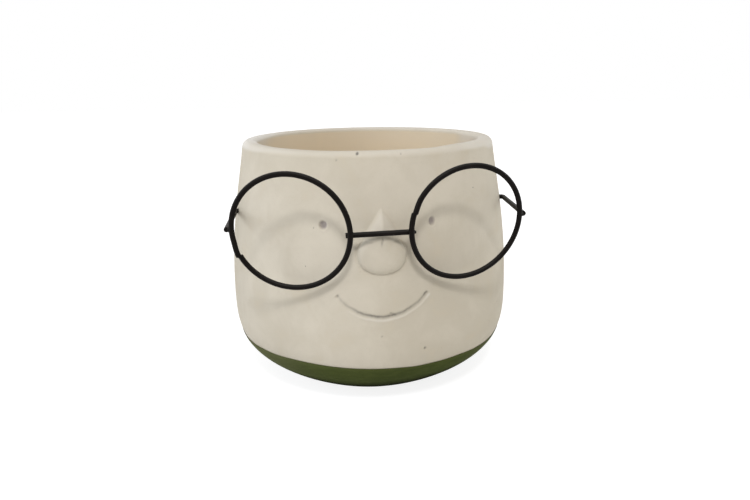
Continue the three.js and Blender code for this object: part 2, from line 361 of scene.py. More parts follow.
# Pot: sizes in millimetres, as in the part's source apart from a slimmer heel
pot = dict(
    height=116, footRadius=41.7, heelSlope=28.2, heelReach=28.4, heelTurn=18.7,
    bellyRadius=70, bellyHeight=38.8, chestReach=35,
    rimReach=16, rimLean=8, rimRadius=61.6, rimRound=3.5,
    mouthRadius=54, mouthRound=2.5, cavityFoot=49.5, cavityRound=14, floor=10,
    heelRows=[(0, 1), (12, 14), (28, 18)], bellyRows=28,  # up to a height, in so many steps
    chestRows=[(45.5, 9), (57.5, 42), (66, 15), (94, 72)], rimRows=27,
    frontColumns=(-25, 25, 161), sideColumns=[(25.6, 40, 0.6), (40.8, 60, 1.1), (61.5, 180, 2.0)],
    faceTurn=25.2, faceSpan=(40, 97), frontTurn=0.5, outerFrom=56, sharp=42,
    sag=0.70, sagLeft=(-85, -45), sagRight=(22, 40), sagHeights=(104, 115.5),
    dimple=0.2, dimplePlace=(-24, 14),
)
wallTop = pot["height"] - pot["rimRound"]


def heelLine(plan, steps):
    slope = math.radians(plan["heelSlope"])
    start = (plan["footRadius"], 0)
    pull = (start[0] + plan["heelReach"] * math.cos(slope), plan["heelReach"] * math.sin(slope))
    turn = (plan["bellyRadius"], plan["bellyHeight"] - plan["heelTurn"])
    return bezier([start, pull, turn, (plan["bellyRadius"], plan["bellyHeight"])], steps)


def chestLine(plan, steps):
    lean = math.radians(plan["rimLean"])
    end = (plan["rimRadius"], wallTop)
    pull = (end[0] + plan["rimReach"] * math.sin(lean), end[1] - plan["rimReach"] * math.cos(lean))
    rise = (plan["bellyRadius"], plan["bellyHeight"] + plan["chestReach"])
    return bezier([(plan["bellyRadius"], plan["bellyHeight"]), rise, pull, end], steps)


wallLine = np.vstack([heelLine(pot, 600), chestLine(pot, 600)[1:]])
heelCurve = heelLine(pot, 2000)


def wallRadius(height):
    return np.interp(height, wallLine[:, 1], wallLine[:, 0])


def onPot(azimuth, height):  # a point of the wall, or of the rounded rim above it
    radius, lift = wallRadius(height), height - wallTop
    if lift > 0:
        radius = pot["rimRadius"] - pot["rimRound"] + math.sqrt(pot["rimRound"] ** 2 - lift ** 2)
    return Vector(turned(radius, math.radians(azimuth), height))


# Face: nose, mouth, pupils and pinholes, as heights off the wall and marks on it
face = dict(
    noseTop=93, noseFoot=84.0, noseNeck=82.2, noseTail=75.5, noseRise=4.6, noseBlend=0.35,
    noseHalfWidths=[5.0, 8.6, 5.8, 0.02],  # at the tail, neck, foot and top
    browSink=0.05, crestRound=0.35, crestFlat=0.2, rightFullness=1.45,
    neckRise=0.4, neckLength=2.0, neckFullness=3.0, neckSpread=(4.0, 8.6),
    ballHeight=74.1, ballWidth=20.2, ballTall=16.4, ballFront=3.6, ballPower=2.1, ballSquare=0.2,
    domeShare=0.985, domePower=3.2, domeLean=0.45, domeEdge=1.035, domeFade=0.06,
    seamPlace=1.05, seamDepth=0.22, seamCut=0.055, seamMark=0.06, seamTop=0.5, seamFade=0.3,
    # the seam is darkened with painted shade, more towards the top, where the bar's shadow falls
    seamWear=0.6, wornRight=(0.1, 0.7), wornLow=(0.0, 0.4), seamShade=(0.10, 0.10), seamDarker=(-0.6, 0.4),
    # the fold carries a painted shadow of the bar
    foldHeight=81.8, foldDroop=(0.050, 0.064), foldWidth=0.62, foldReach=10.6, foldFade=1.5,
    foldDepth=0.3, foldShadow=0.34,
    # the slit is darkened with painted shade
    creaseTop=82.0, creaseAside=0.15, creaseLean=0.17, creaseFoot=(77.3, 79.5), creaseHead=82.9,
    creaseFade=0.8, creaseDepth=0.35, creaseCut=0.26, creaseMark=0.3, creaseShade=0.5,
    # painted shadow of the bar at the ball's upper corners
    barShadowSpots=[(-1.07, 0.31, 0.12, 0.40), (1.05, 0.0, 0.26, 0.36)],  # place on the ball, tallness, darkness
    # the bar's shadow spots are this wide, and the bridge gets a painted highlight where it is proud
    barShadowSpotWidth=0.10, bridgeHighlight=0.25, bridgeSpan=(82.5, 95), bridgeProud=(0.3, 1.4),
    mouthLow=47.05, mouthHalfWidth=19.3, mouthLift=9.1, mouthSkew=0.024,
    mouthEnd=1.035, mouthFade=0.035, rightShort=1.02,
    mouthGroove=0.92, grooveMiddle=0.1, grooveSharp=1.6, mouthDepth=0.62,
    mouthGrey=0.74, mouthMark=(-0.02, 0.78, 1.5),  # middle, width, sharpness
    lineWaver=(0.13, 21, 6, 0.45), widthWaver=(0.22, 4, 6, 0.33),  # strength, seed, waves, step
    depthWaver=(0.25, 9, 6, 0.41), greyWaver=(0.2, 15, 6, 0.5),
    # a painted highlight along the lower lip
    lipHeight=0.20, lipCast=(1.85, 0.52), lipFade=(-1.3, 0), lipHighlight=0.45, lipMark=(1.45, 0.45),
    mouthPress=[  # place along it, pressure
        (-1.03, 0.95), (-0.99, 0.9), (-0.96, 0.3), (-0.86, 0.38), (-0.6, 0.68), (-0.35, 1.1),
        (0.1, 1.15), (0.4, 0.9), (0.6, 0.72), (0.88, 0.66), (0.95, 1.25),
    ],
    mouthSpur=((4.9, 47.95), (3.1, 48.65)), spurWidth=0.38, spurDepth=0.3, spurGrey=0.5,
    pupils=[  # azimuth, height, radius, tallness, depth
        (-21.1, 85.75, 1.95, 1.0, 1.0), (19.0, 86.15, 1.62, 1.25, 0.95),
    ],
    pupilEdge=1.08, pupilSlope=0.6, blotSlope=0.55,
    ridge=0.14, ridgePlace=1.3, ridgeWidth=0.45, ridgeFade=(-1, 1.5),  # below each pupil
    holeEdge=1.1, holeSlope=0.8,
    pinholes=[  # azimuth, height, radius, tallness, darkness
        (-8.5, 114.3, 0.75, 1, 1.35), (-16.5, 111.9, 0.45, 1, 0.5), (8.3, 113.9, 0.42, 1, 0.5),
        (15.2, 30.8, 0.72, 1, 0.75), (-0.6, 38.3, 0.48, 1, 0.5), (-24.7, 84.3, 0.36, 1, 0.8),
    ],
)


def onBall(across, height, plan):  # in halves of the ball's width and height
    return 2 * across / plan["ballWidth"], 2 * (height - plan["ballHeight"]) / plan["ballTall"]


def ballAway(wide, tall, plan):  # 1 on the ball's outline, which is squarer below than above
    power = plan["ballPower"] - plan["ballSquare"] * np.clip(2 * tall, -1, 1)
    return (np.abs(wide) ** power + np.abs(tall) ** power) ** (1 / power)


def ballSeam(wide, tall, width, plan):  # the cut round the ball, nearly smoothed over low on the right
    wear = 1 - plan["seamWear"] * soft(wide, *plan["wornRight"]) * soft(-tall, *plan["wornLow"])
    upper = soft(plan["seamTop"] - tall, 0, plan["seamFade"])
    return hump(ballAway(wide, tall, plan), plan["seamPlace"], width) * upper * wear


def browFold(across, height, plan):  # the fold between bridge and ball, an arc close under the bar
    middle = plan["foldHeight"] - np.where(across < 0, *plan["foldDroop"]) * across ** 2
    ends = soft(plan["foldReach"] - np.abs(across), 0, plan["foldFade"])
    return hump(height, middle, plan["foldWidth"]) * ends


def noseCrease(across, height, width, plan):  # the slit that runs down from the fold
    line = plan["creaseAside"] - plan["creaseLean"] * (plan["creaseTop"] - height)
    ends = soft(height, *plan["creaseFoot"]) * soft(plan["creaseHead"] - height, 0, plan["creaseFade"])
    return hump(across, line, width) * ends


def bridgeHeight(across, height, wall, plan):
    root = wallRadius(plan["noseTop"])
    brow = wallRadius(plan["noseFoot"]) + plan["noseRise"]
    front = wallRadius(plan["ballHeight"]) + plan["ballFront"]
    spots = [plan["noseTail"], plan["noseNeck"], plan["noseFoot"], plan["noseTop"]]
    edge = np.interp(height, spots, [front, brow - plan["browSink"], brow, root]) - wall
    half = np.interp(height, spots, plan["noseHalfWidths"])
    inside = (height > plan["noseTail"]) & (height < plan["noseTop"])
    crest = np.sqrt(across ** 2 + plan["crestRound"] ** 2) - plan["crestFlat"]
    neck = soft(plan["noseFoot"] + plan["neckRise"] - height, 0, plan["neckLength"])
    fullness = np.where(across > 0, plan["rightFullness"], 1.0) * (1 - neck) + plan["neckFullness"] * neck
    flank = np.clip(crest / half, 0, 9) ** fullness
    flank = flank + (1 - flank) * neck * soft(across, *plan["neckSpread"])
    return np.where(inside, edge * (1 - flank), -1.0)


def ballDome(wide, tall, wall, plan):
    away = ballAway(wide, tall, plan)
    dome = plan["ballFront"] * np.clip(1 - (away * plan["domeShare"]) ** plan["domePower"], 0, 1) ** 0.5
    lean = plan["domeLean"] * (wallRadius(plan["ballHeight"]) - wall)
    return (dome + lean) * soft(plan["domeEdge"] - away, 0, plan["domeFade"])


def noseHeight(across, height, wall, plan):
    wide, tall = onBall(across, height, plan)
    ridge, dome = bridgeHeight(across, height, wall, plan), ballDome(wide, tall, wall, plan)
    blend = plan["noseBlend"]  # how softly bridge and ball run together
    top = np.maximum(ridge, dome)
    near = np.clip(blend - np.abs(ridge - dome), 0, blend)
    joined = np.where((ridge > 0) & (dome > 0), top + near ** 2 / (4 * blend), top)
    crease = plan["creaseDepth"] * noseCrease(across, height, plan["creaseCut"], plan)
    seam = plan["seamDepth"] * ballSeam(wide, tall, plan["seamCut"], plan)
    return np.maximum(joined, 0) - crease - seam - plan["foldDepth"] * browFold(across, height, plan)


def mouthPlace(across, height, plan):  # depth below the line, share and run along it, pressure
    radius = (plan["mouthHalfWidth"] ** 2 + plan["mouthLift"] ** 2) / (2 * plan["mouthLift"])
    up = plan["mouthLow"] + radius - height + plan["mouthSkew"] * np.maximum(across, 0)
    turn = np.arctan2(across, up)
    half = math.asin(plan["mouthHalfWidth"] / radius)
    below = np.hypot(across, up) - radius + waver(turn * radius, *plan["lineWaver"])
    along = turn / half
    ends = soft(plan["mouthEnd"] - np.maximum(-along, along * plan["rightShort"]), 0, plan["mouthFade"])
    return below, along, along * (radius * half), ends * np.interp(along, *zip(*plan["mouthPress"]))


def lowerLip(below, along, place, plan):  # cement pushed up below the line, least on the left
    return soft(along, *plan["lipFade"]) * hump(below, *place)


def mouthDepth(across, height, plan):
    below, along, run, pressure = mouthPlace(across, height, plan)
    wide = plan["mouthGroove"] * (1 + waver(run, *plan["widthWaver"]))
    deep = plan["mouthDepth"] * (1 + waver(run, *plan["depthWaver"]))
    deep = deep * hump(below, plan["grooveMiddle"], wide, plan["grooveSharp"])
    lip = plan["lipHeight"] * lowerLip(below, along, plan["lipCast"], plan)
    return pressure * (deep - lip) + plan["spurDepth"] * spur(across, height, plan)


def spur(across, height, plan):  # a short slip of the tool above the mouth
    (x, z), (endX, endZ) = plan["mouthSpur"]
    runX, runZ = endX - x, endZ - z
    t = np.clip(((across - x) * runX + (height - z) * runZ) / (runX ** 2 + runZ ** 2), 0, 1)
    return hump(np.hypot(across - x - t * runX, height - z - t * runZ), 0, plan["spurWidth"])


def spotAway(across, height, azimuth, z, tall):  # distance from a spot on the wall
    return np.hypot(across - math.radians(azimuth) * wallRadius(z), (height - z) / tall)


def pupilDepth(across, height, plan):
    total = np.zeros_like(across)
    for azimuth, z, radius, tall, depth in plan["pupils"]:
        away = spotAway(across, height, azimuth, z, tall)
        total += depth * soft(radius * plan["pupilEdge"] - away, 0, radius * plan["pupilSlope"])
        ridge = hump(away, radius * plan["ridgePlace"], plan["ridgeWidth"])
        total -= plan["ridge"] * ridge * soft(z - height, *plan["ridgeFade"])
    return total


def potRows(plan):  # the profile from the foot over the rim to the inner floor
    belly = plan["bellyHeight"]
    heel = spaced(plan["heelRows"] + [(belly, plan["bellyRows"])])
    heel = np.column_stack([np.interp(heel, heelCurve[:, 1], heelCurve[:, 0]), heel])
    chest = spaced([(belly, 1)] + plan["chestRows"] + [(wallTop, plan["rimRows"])])[1:]
    chest = np.column_stack([wallRadius(chest), chest])
    quarter = np.radians(np.linspace(0, 90, 11))[1:]
    rim = arc(plan["rimRadius"] - plan["rimRound"], wallTop, plan["rimRound"], quarter)
    lipZ = plan["height"] - plan["mouthRound"]
    quarter = np.radians(np.linspace(90, 180, 9))
    lip = arc(plan["mouthRadius"] + plan["mouthRound"], lipZ, plan["mouthRound"], quarter)
    draft = math.atan2(plan["mouthRadius"] - plan["cavityFoot"], lipZ - plan["floor"])
    cornerX = plan["cavityFoot"] + plan["cavityRound"] * (math.tan(draft) - 1 / math.cos(draft))
    quarter = np.linspace(-draft, -math.pi / 2, 8)
    cove = arc(cornerX, plan["floor"] + plan["cavityRound"], plan["cavityRound"], quarter)
    side = np.linspace(lip[-1], cove[0], 14)[1:-1]
    disc = np.linspace(cove[-1], (0, plan["floor"]), 5)[1:-1]
    base = np.linspace((0, 0), heel[0], 5)[1:-1]
    outside = len(base) + len(heel) + len(chest) + len(rim)
    return np.vstack([base, heel, chest, rim, lip, side, cove, disc]), len(base), outside


def potColumns(plan):  # fine over the face, wider round the back
    front = np.linspace(*plan["frontColumns"])
    flank = np.concatenate([np.arange(*run) for run in plan["sideColumns"]])
    return np.radians(np.concatenate([-flank[::-1], front, flank]))


def rimSag(turn, height, plan):  # the front of the rim settled before the cement was hard
    degrees = np.degrees(turn)
    front = plan["sag"] * soft(degrees, *plan["sagLeft"]) * (1 - soft(degrees, *plan["sagRight"]))
    dimple = plan["dimple"] * hump(degrees, *plan["dimplePlace"])
    return (front + dimple) * soft(height, *plan["sagHeights"])


def potSurface(plan, features):
    rows, first, outside = potRows(plan)
    azimuth = potColumns(plan)
    count, around = len(rows), len(azimuth)
    radius, height = [np.repeat(column[:, None], around, 1) for column in rows.T]
    turn = np.repeat(azimuth[None, :], count, 0)
    normal = outward(rows)
    across = turn * radius
    lift = noseHeight(across, height, radius, features)
    lift -= mouthDepth(across, height, features) + pupilDepth(across, height, features)
    low, high = plan["faceSpan"]
    onFace = (np.abs(turn) < math.radians(plan["faceTurn"])) & (height > low) & (height < high)
    row = np.arange(count)[:, None]
    lift = np.where(onFace & (row >= first) & (row < outside), lift, 0)
    radius = radius + lift * normal[:, :1]
    height = height + lift * normal[:, 1:]
    height = height - rimSag(turn, height, plan)
    points = turned(radius, turn, height).reshape(-1, 3)
    faces = bands(count, around)
    under, over, last = len(points), len(points) + 1, (count - 1) * around
    points = np.vstack([points, [0, 0, 0], [0, 0, plan["floor"]]])
    faces += [(under, (k + 1) % around, k) for k in range(around)]
    faces += [(over, last + k, last + (k + 1) % around) for k in range(around)]
    return points, faces


# Casting marks: a slow unevenness, and dents at given points
casting = {
    "Unevenness": 0.22 * mm, "Wave": 21.0, "Ripple": 0.05 * mm, "Flat foot": 0.4 * mm,
    "Hole depth": 0.55 * mm, "Depth by size": 1200.0,
}


def castingTree(material, dents):
    group, tree, given = newTree("casting_marks", dict.fromkeys(casting, "Float"))
    place = tree.node("GeometryNodeInputPosition")
    slow = noise(tree, place, given["Wave"], 1.5, 0.4)
    quick = noise(tree, place, given["Wave"] * 7.0, 2.0, 0.5)
    spots = tree.node("GeometryNodeObjectInfo", {"Object": dents}, "Geometry")
    near = tree.node("GeometryNodeProximity", {"Target": spots}, "Distance", target_element="POINTS")
    nearest = tree.node("GeometryNodeSampleNearest", {"Geometry": spots}, "Index")
    pick = {"Geometry": spots, "Value": storedField(tree, "size"), "Index": nearest}
    reach = tree.node("GeometryNodeSampleIndex", pick, "Value", data_type="FLOAT", domain="POINT")
    dent = between(tree, reach - near, reach * -0.1, reach * 0.75)
    offset = (slow - 1.0) * given["Unevenness"] + (quick - 1.0) * given["Ripple"]
    offset = offset - dent * given["Hole depth"] * (reach * given["Depth by size"])
    level = tree.node("ShaderNodeSeparateXYZ", {"Vector": place}, "Z")
    closeTree(tree, pushOut(tree, given["Geometry"], offset, level > given["Flat foot"]), material)
    return group


def dentPoints(plan):
    piece = newPiece("dent_points", [onPot(azimuth, z) * mm for azimuth, z, *_ in plan["pinholes"]])
    store(piece.data, "size", [size * mm for _, _, size, *_ in plan["pinholes"]])
    return piece


# Marks on the pot: grey along the mouth and in the pinholes, painted shade and painted shadow round the nose,
# a warm inside, and painted highlights on the rim, the bridge and the lower lip
# grey along the mouth line and the spur
def mouthGrey(across, height, plan):
    below, _, run, pressure = mouthPlace(across, height, plan)
    line = pressure * hump(below, *plan["mouthMark"]) * (1 + waver(run, *plan["greyWaver"]))
    return np.maximum(plan["mouthGrey"] * line, plan["spurGrey"] * spur(across, height, plan))


# painted shade in the seam round the ball, darker towards the top under the bar, painted shadow of the bar
# beside the ball and along the fold, and painted shade in the slit
def noseShade(across, height, plan):
    wide, tall = onBall(across, height, plan)
    least, more = plan["seamShade"]
    total = (least + more * soft(tall, *plan["seamDarker"])) * ballSeam(wide, tall, plan["seamMark"], plan)
    for beside, above, high, dark in plan["barShadowSpots"]:
        away = np.hypot((wide - beside) / plan["barShadowSpotWidth"], (tall - above) / high)
        total = np.maximum(total, dark * hump(away, 0, 1))
    total = np.maximum(total, plan["foldShadow"] * browFold(across, height, plan))
    return np.maximum(total, plan["creaseShade"] * noseCrease(across, height, plan["creaseMark"], plan))


def spotMarks(across, height, spots, edge, slope):  # dark all over, and soft at the edge
    total = np.zeros_like(across)
    for azimuth, z, radius, tall, dark in spots:
        away = spotAway(across, height, azimuth, z, tall)
        total = np.maximum(total, dark * soft(radius * edge - away, 0, radius * slope))
    return total


def faceHighlight(across, height, proud, plan):  # painted highlight on the bridge and on the lower lip
    low, high = plan["bridgeSpan"]
    bridge = np.where((height > low) & (height < high), soft(proud, *plan["bridgeProud"]), 0)
    below, along, _, pressure = mouthPlace(across, height, plan)
    lip = pressure * lowerLip(below, along, plan["lipMark"], plan)
    return np.maximum(plan["bridgeHighlight"] * bridge, plan["lipHighlight"] * lip)


rimWarmthAndHighlight = dict(
    fadeRight=1.6, fadeRightX=(49, 54.5), fadeLeft=0.5, fadeLeftX=(46, 54),  # the painted highlight on the lip reaches in here
    innerEdge=1.4, innerTop=114.6, innerFade=1.5,
    # how strong the rim's painted highlight is: least all round, more behind and on the left, on the right
    # and at the far left
    least=0.34, behind=0.29, behindY=(-40, 5), leftX=(28, 50),
    right=0.45, rightX=(30, 44), rightY=(0, 20), farLeft=0.9, farLeftX=(40, 54), farLeftY=(-28, -8),
    paleHeights=(112.6, 114.4), paleRadii=(54.1, 55.0), paleReach=0.8, paleFoot=(104, 110),
)


def rimMarks(x, y, z, radius, plan):  # how warm the inside is, and the painted highlight on the rim
    fade = plan["fadeRight"] * soft(x, *plan["fadeRightX"]) + plan["fadeLeft"] * soft(-x, *plan["fadeLeftX"])
    inner = soft(pot["mouthRadius"] + plan["innerEdge"] - radius, 0, plan["innerEdge"])
    inner = inner * soft(plan["innerTop"] - fade - z, 0, plan["innerFade"]) * (z > pot["floor"] - 1)
    highlit = plan["least"] + plan["behind"] * np.maximum(soft(y, *plan["behindY"]), soft(-x, *plan["leftX"]))
    highlit += plan["right"] * soft(x, *plan["rightX"]) * soft(-y, *plan["rightY"])
    highlit += plan["farLeft"] * soft(-x, *plan["farLeftX"]) * soft(y, *plan["farLeftY"])
    pale = soft(z + fade, *plan["paleHeights"]) * soft(radius + plan["paleReach"] * fade, *plan["paleRadii"])
    return inner, highlit * pale * soft(z, *plan["paleFoot"])


def markPot(mesh, plan):
    co = np.zeros(len(mesh.vertices) * 3)
    mesh.vertices.foreach_get("co", co)
    x, y, z = co.reshape(-1, 3).T / mm
    radius, turn = np.hypot(x, y), np.arctan2(x, -y)
    across = turn * wallRadius(z)
    outer = radius > pot["outerFrom"]
    front = outer & (np.abs(turn) < pot["frontTurn"]) & (z > pot["faceSpan"][0])
    # grey along the mouth, with painted shade and painted shadow round the nose
    greyAndShade = np.maximum(mouthGrey(across, z, plan), noseShade(across, z, plan))
    holes = spotMarks(across, z, plan["pinholes"], plan["holeEdge"], plan["holeSlope"])
    blots = [(*pupil[:4], 1) for pupil in plan["pupils"]]
    blot = spotMarks(across, z, blots, plan["pupilEdge"], plan["blotSlope"])
    inner, pale = rimMarks(x, y, z, radius, rimWarmthAndHighlight)
    # painted highlight on the bridge and the lower lip
    wearAndHighlight = np.where(front, faceHighlight(across, z, radius - wallRadius(z), plan), 0)
    store(mesh, "greyAndShade", np.maximum(np.where(front, greyAndShade, 0), np.where(outer, holes, 0)))
    store(mesh, "blot", np.where(front, blot, 0))
    store(mesh, "inner", inner)
    store(mesh, "wearAndHighlight", np.maximum(pale, wearAndHighlight))


# Hinge holes for the spectacles
hinge = dict(
    height=85.4, azimuth=73.5, roll=1.3, holeRadius=1.4, holeDepth=8.5, sides=28,
    flare=[(-0.9, 0), (0.7, 0.35), (4, 1.0)],  # place along the hole, extra radius
)
hingeRadius, hingeTurn = float(wallRadius(hinge["height"])), math.radians(hinge["azimuth"])
hingeX, hingeY = hingeRadius * math.sin(hingeTurn), -hingeRadius * math.cos(hingeTurn)
spectacleFrame = Matrix.Translation((0, hingeY, hinge["height"]))
spectacleFrame = spectacleFrame @ Matrix.Rotation(-math.radians(hinge["roll"]), 4, "Y")


def inSpectacles(points):  # from the spectacles' own millimetres to the pot's metres
    return [(spectacleFrame @ Vector(p)) * mm for p in points]


def holeCutter(plan):
    points, faces = [], []
    sides = plan["sides"]
    turns = [2 * math.pi * k / sides for k in range(sides)]
    stations = [(-plan["holeDepth"], 0)] + plan["flare"]
    for side in (-1, 1):
        start = len(points)
        for out, wider in stations:
            radius = plan["holeRadius"] + wider
            points += [(side * (hingeX + out), radius * math.cos(a), radius * math.sin(a)) for a in turns]
        quads = bands(len(stations), sides, start)
        caps = [list(range(start, start + sides))[::-1], list(range(len(points) - sides, len(points)))]
        faces += [loop if side > 0 else loop[::-1] for loop in quads + caps]
    return newPiece("hole_cutter", inSpectacles(points), [], faces)


def makePot():
    points, faces = potSurface(pot, face)
    piece = newPiece("cement_pot", points * mm, [], faces)
    dents, cutter = dentPoints(face), holeCutter(hinge)
    runTree(piece, castingTree(cement, dents), casting)
    drill = piece.modifiers.new("hinge_holes", "BOOLEAN")
    drill.object = cutter
    drill.operation = "DIFFERENCE"
    drill.solver = "EXACT"
    settle(piece, pot["sharp"])
    for spare in (dents, cutter):
        bpy.data.objects.remove(spare)
    markPot(piece.data, face)
    piece.data.materials.clear()
    piece.data.materials.append(cement)
    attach(piece, "pot")
    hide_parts("pot_body")
    print("pot:", len(piece.data.polygons), "faces")


makePot()


# Paint on the base: a film with a hand-dipped edge
dip = dict(
    line=22.25, hem=1.2, gap=0.06, film=0.26, edgeFilm=0.35, edgeSlope=6, inset=0.2,
    wander=0.32, ripple=0.3, tip=0.8, leftDrop=(0.70, 0.95), around=360, up=26, crowding=0.9, sharp=50,
    # painted shade towards the bottom, reaching higher on the right
    hemFade=14, soleShade=0.64, soleShadeRight=0.12, soleShadeX=(-10, 30), soleShadeFade=0.36,
    sideSheenLeftX=(20, 64), sideSheenRight=0.55, sideSheenRightX=(30, 56),  # painted sheen on the sides, more on the left
    slowWaver=(0.7, 3, 5, 1 / 1.7),  # strength, seed, waves, step
    rises=[  # azimuth, spread, height
        (-31, 7.5, 0.72), (-17, 8, 0.32), (13, 5, -0.30), (30, 8, 0.33), (49, 5, -0.25),
    ],
)


def dipEdge(turn, plan):  # the edge's height all round
    edge = plan["line"] - plan["tip"] * np.sin(turn)  # dipped a little aslant
    edge -= soft(-np.sin(turn), *plan["leftDrop"])  # and lower at the far left
    edge += sum(high * hump(np.degrees(turn), place, spread) for place, spread, high in plan["rises"])
    ripple = plan["ripple"] * np.sin(turn * 23 + 1.2) * np.sin(turn * 3)
    return edge + plan["wander"] * (waver(turn, *plan["slowWaver"]) + ripple)


def makeDip(plan):
    heights, out = heelCurve[:, 1], outward(heelCurve)
    around = plan["around"]
    turn = np.linspace(-math.pi, math.pi, around, endpoint=False)
    edge = dipEdge(turn, plan)
    share = np.linspace(0, 1, plan["up"]) ** plan["crowding"]
    film = plan["film"] * np.minimum(1.0, plan["edgeSlope"] * (1 - share) + plan["edgeFilm"])
    ring = list(zip(share, plan["gap"] + film))
    ring += [(s, plan["gap"] * plan["inset"]) for s in share[::-1]]
    points, hem, soleShade, sideSheen = [], [], [], []
    for s, off in ring:
        height = plan["hem"] + (edge - plan["hem"]) * s
        radius = np.interp(height, heights, heelCurve[:, 0]) + off * np.interp(height, heights, out[:, 0])
        points.append(turned(radius, turn, height + off * np.interp(height, heights, out[:, 1])))
        aside = radius * np.sin(turn)
        hem.append(np.full(around, max(0.0, 1 - (1 - s) * plan["hemFade"])))
        # painted shade towards the bottom
        dark = plan["soleShade"] + plan["soleShadeRight"] * soft(aside, *plan["soleShadeX"])
        soleShade.append(soft(dark - s, 0, plan["soleShadeFade"]))
        # painted sheen on the sides
        right = plan["sideSheenRight"] * soft(aside, *plan["sideSheenRightX"])
        sideSheen.append(soft(-aside, *plan["sideSheenLeftX"]) + right)
    faces = bands(len(ring), around, closed=True)
    piece = newPiece("olive_dip", np.concatenate(points) * mm, [], faces)
    for name, rows in (("hem", hem), ("soleShade", soleShade), ("sideSheen", sideSheen)):
        store(piece.data, name, np.concatenate(rows))
    shadeSmooth(piece.data, plan["sharp"])
    piece.data.materials.append(olivePaint)
    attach(piece, "pot")
    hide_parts("green_base_coat")
    print("dip:", len(faces), "faces")


makeDip(dip)


# Spectacles: one gauge of wire swept along a path; sizes with -1 and 1 are for left and right
wire = {"Gauge": 1.12 * mm, "Sides": 22}
glasses = dict(
    weldGap=0.35, seatGap=0.3, frontShift=1.3, wireSharp=38, beadSharp=60,
    barDrop=1.4, barHalfSpan=12.2, barOverhang=1.6, barNub=0.7, barNubFrom=0.5, barNubDip=0.45, barPoint=1.3,
    ringRadius={-1: 24.22, 1: 23.95}, ringLift={-1: 1.8, 1: 1.76}, ringAside={-1: 0.34, 1: 0.14},
    ringWrap=12.5, ringTilt=8.4, bow={-1: 0.14, 1: 0.02},
    seams={-1: 204, 1: 164}, seamStep={-1: 1.4, 1: 0.9}, seamGap=0.1, ringJoggle=16,
    templeAngle={-1: 2.6, 1: 2.3}, templeLean=25, templeTip=0.6,
    templeStandOff=1.25, templeBend=2.0, pinDepth=7,
)
cutEnd = dict(
    bite=0.32, clear=1.5, places=[0, 0.05, 0.16, 1.0], rounding=[0.80, 0.90, 0.97, 1.0], tip=(0.45, 0.55),
)
wireDiameter = 2 * wire["Gauge"] / mm
wirePitch = wireDiameter + glasses["weldGap"]
noseEdge = float(wallRadius(hinge["height"] - glasses["barDrop"])) + face["noseRise"]
barY = -(noseEdge + glasses["seatGap"] + wireDiameter / 2) - hingeY


def wireTree(material):
    group, tree, given = newTree("wire_sweep", {"Gauge": "Float", "Sides": "Int"})
    line = tree.node("GeometryNodeMeshToCurve", {"Mesh": given["Geometry"]})
    size = {"Resolution": given["Sides"], "Radius": given["Gauge"]}
    profile = tree.node("GeometryNodeCurvePrimitiveCircle", size, "Curve", mode="RADIUS")
    parts = {"Curve": line, "Profile Curve": profile, "Scale": storedField(tree, "taper"), "Fill Caps": True}
    closeTree(tree, tree.node("GeometryNodeCurveToMesh", parts), material)
    return group


sweep = wireTree(blackCoating)


def cutEnds(path, plan):  # closer points and a small bevel where the wire was cut
    path = np.array(path, float)
    length = np.concatenate([[0], np.cumsum(np.linalg.norm(np.diff(path, axis=0), axis=1))])
    total, clear = length[-1], plan["bite"] * plan["clear"]
    stops = np.array(plan["places"]) * plan["bite"]
    middle = length[(length > clear) & (length < total - clear)]
    stations = np.concatenate([stops, middle, total - stops[::-1]])
    shaped = np.column_stack([np.interp(stations, length, path[:, k]) for k in range(3)])
    return shaped, np.concatenate([plan["rounding"], np.ones(len(middle)), plan["rounding"][::-1]])


def makeWire(name, path, node, point=0.0):
    shaped, taper = cutEnds(path, cutEnd)
    if point:  # drawn out over the last few tenths
        left = np.linalg.norm(shaped - shaped[-1], axis=1)
        least, more = cutEnd["tip"]
        taper = taper * (least + more * soft(left, 0, point))
    piece = newPiece(name, inSpectacles(shaped), [(k, k + 1) for k in range(len(shaped) - 1)])
    store(piece.data, "taper", taper)
    runTree(piece, sweep, wire)
    settle(piece, glasses["wireSharp"])
    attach(piece, "spectacles")
    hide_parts(node)


def ringPlace(side, plan):
    turn = Matrix.Rotation(side * math.radians(plan["ringWrap"]), 4, "Z")
    turn = turn @ Matrix.Rotation(math.pi / 2 + math.radians(plan["ringTilt"]), 4, "X")
    facing = turn.to_3x3() @ Vector((0, 0, 1))
    beside = side * plan["ringRadius"][side] * math.cos(math.radians(plan["ringWrap"]))
    ahead = (wirePitch - facing.x * beside - facing.z * plan["ringLift"][side]) / facing.y
    across = side * plan["barHalfSpan"] + beside - plan["frontShift"] + plan["ringAside"][side]
    middle = (across, barY + ahead, plan["ringLift"][side] - plan["barDrop"])
    return Matrix.Translation(middle) @ turn


def ringPath(side, plan, steps=190):
    place = ringPlace(side, plan)
    gap = math.degrees(plan["seamGap"] / plan["ringRadius"][side])  # the weld fills it
    path = []
    for done in np.linspace(0, 360 - gap, steps):
        angle = math.radians(plan["seams"][side] + done + gap / 2)
        step = plan["seamStep"][side] * float(soft(done, 360 - gap - plan["ringJoggle"], 360 - gap))
        radius = plan["ringRadius"][side] + plan["bow"][side] * math.sin(2 * angle + side)
        path.append(place @ Vector((radius * math.cos(angle), radius * math.sin(angle), step)))
    return path


